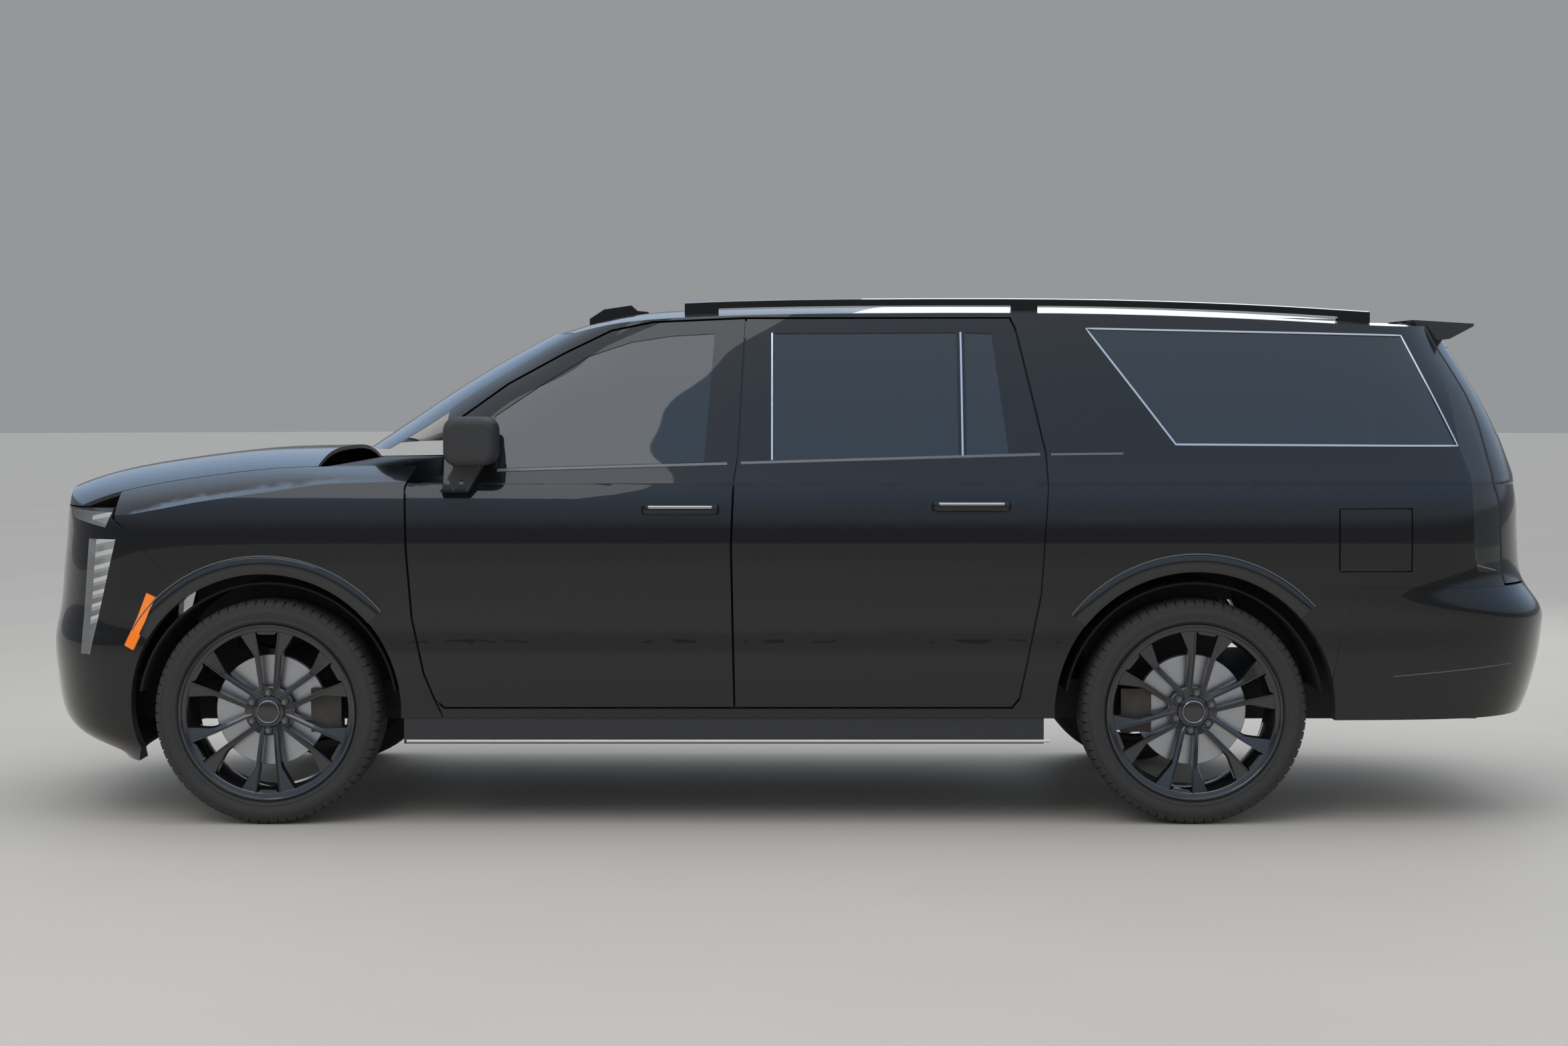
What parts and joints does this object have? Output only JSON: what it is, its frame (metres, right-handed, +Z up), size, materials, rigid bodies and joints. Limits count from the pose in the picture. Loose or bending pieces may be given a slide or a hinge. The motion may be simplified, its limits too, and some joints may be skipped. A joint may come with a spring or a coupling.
{
  "type": "full-size sport utility vehicle",
  "caption": "Full-size sport utility vehicle with turning and steering wheels, opening doors, hood, liftgate and fuel door.",
  "frame": {"origin": "middle of the vehicle's length and width, at ground level", "axes": "+X towards the tail, -Y the vehicle's left side, +Z up"},
  "size_m": [5.7675, 2.372, 1.9426],
  "materials": {
    "paint": "gloss",
    "gloss_black": "gloss",
    "glass": "tinted",
    "tyre": "matte",
    "wheel": "gloss",
    "steel": "machined",
    "chassis": "satin",
    "iron": "rough",
    "dark_plastic": "matte",
    "lamp": "clear",
    "tail": "clear",
    "leather": "soft",
    "satin": "satin"
  },
  "bodies": {
    "body": {"frame": "chassis", "floor_pan": "chassis", "body_side_left": "paint", "body_side_right": "paint", "roof_panel": "paint", "cowl": "dark_plastic", "front_fenders": "paint", "front_fascia": "paint", "grille": "gloss_black", "headlamps": "lamp", "windshield": "glass", "quarter_glass": "glass", "rear_bumper": "paint", "tail_lamps": "tail", "roof_fittings": "gloss_black", "running_boards": "dark_plastic", "seats": "leather", "dashboard": "dark_plastic", "engine": "iron", "arch_liners": "dark_plastic", "suspension": "iron", "exhaust": "steel", "fuel_tank": "dark_plastic"},
    "wheel_front_left": {"tyre_front_left": "tyre", "rim_front_left": "wheel"},
    "door_front_left_body": {"door_front_left": "paint", "glass_front_left": "glass"},
    "wheel_front_right": {"tyre_front_right": "tyre", "rim_front_right": "wheel"},
    "door_front_right_body": {"door_front_right": "paint", "glass_front_right": "glass"},
    "wheel_rear_left": {"tyre_rear_left": "tyre", "rim_rear_left": "wheel"},
    "door_rear_left_body": {"door_rear_left": "paint", "glass_rear_left": "glass"},
    "wheel_rear_right": {"tyre_rear_right": "tyre", "rim_rear_right": "wheel"},
    "door_rear_right_body": {"door_rear_right": "paint", "glass_rear_right": "glass"},
    "knuckle_left_body": {"knuckle_left": "iron"},
    "knuckle_right_body": {"knuckle_right": "iron"},
    "hood_body": {"hood": "paint"},
    "liftgate_body": {"liftgate": "paint", "liftgate_glass": "glass"},
    "fuel_door_body": {"fuel_door": "paint"}
  },
  "joints": [
    {"name": "steer_left", "type": "hinge", "parent": "body", "child": "knuckle_left_body", "pos_m": [-1.953, -0.82, 0.414], "axis": [0, 0, 1], "range_deg": [-32, 32]},
    {"name": "spin_front_left", "type": "hinge", "parent": "knuckle_left_body", "child": "wheel_front_left", "pos_m": [-1.953, -0.87, 0.414], "axis": [0, 1, 0], "continuous": true},
    {"name": "spin_rear_left", "type": "hinge", "parent": "body", "child": "wheel_rear_left", "pos_m": [1.454, -0.87, 0.414], "axis": [0, 1, 0], "continuous": true},
    {"name": "open_front_left", "type": "hinge", "parent": "body", "child": "door_front_left_body", "pos_m": [-1.406, -1.022, 1], "axis": [0, 0, -1], "range_deg": [0, 65]},
    {"name": "open_rear_left", "type": "hinge", "parent": "body", "child": "door_rear_left_body", "pos_m": [-0.214, -1.022, 1], "axis": [0, 0, -1], "range_deg": [0, 68]},
    {"name": "steer_right", "type": "hinge", "parent": "body", "child": "knuckle_right_body", "pos_m": [-1.953, 0.82, 0.414], "axis": [0, 0, 1], "range_deg": [-32, 32]},
    {"name": "spin_front_right", "type": "hinge", "parent": "knuckle_right_body", "child": "wheel_front_right", "pos_m": [-1.953, 0.87, 0.414], "axis": [0, 1, 0], "continuous": true},
    {"name": "spin_rear_right", "type": "hinge", "parent": "body", "child": "wheel_rear_right", "pos_m": [1.454, 0.87, 0.414], "axis": [0, 1, 0], "continuous": true},
    {"name": "open_front_right", "type": "hinge", "parent": "body", "child": "door_front_right_body", "pos_m": [-1.406, 1.022, 1], "axis": [0, 0, 1], "range_deg": [0, 65]},
    {"name": "open_rear_right", "type": "hinge", "parent": "body", "child": "door_rear_right_body", "pos_m": [-0.214, 1.022, 1], "axis": [0, 0, 1], "range_deg": [0, 68]},
    {"name": "open_hood", "type": "hinge", "parent": "body", "child": "hood_body", "pos_m": [-1.793, 0, 1.3705], "axis": [0, 1, 0], "range_deg": [0, 50]},
    {"name": "open_liftgate", "type": "hinge", "parent": "body", "child": "liftgate_body", "pos_m": [2.248, 0, 1.8685], "axis": [0, -1, 0], "range_deg": [0, 80]},
    {"name": "open_fuel_door", "type": "hinge", "parent": "body", "child": "fuel_door_body", "pos_m": [1.986, -1.0245, 1.05], "axis": [0, 0, -1], "range_deg": [0, 85]}
  ],
  "couplings": [
    {"joint": "steer_right", "follows": "steer_left", "ratio": 1}
  ]
}
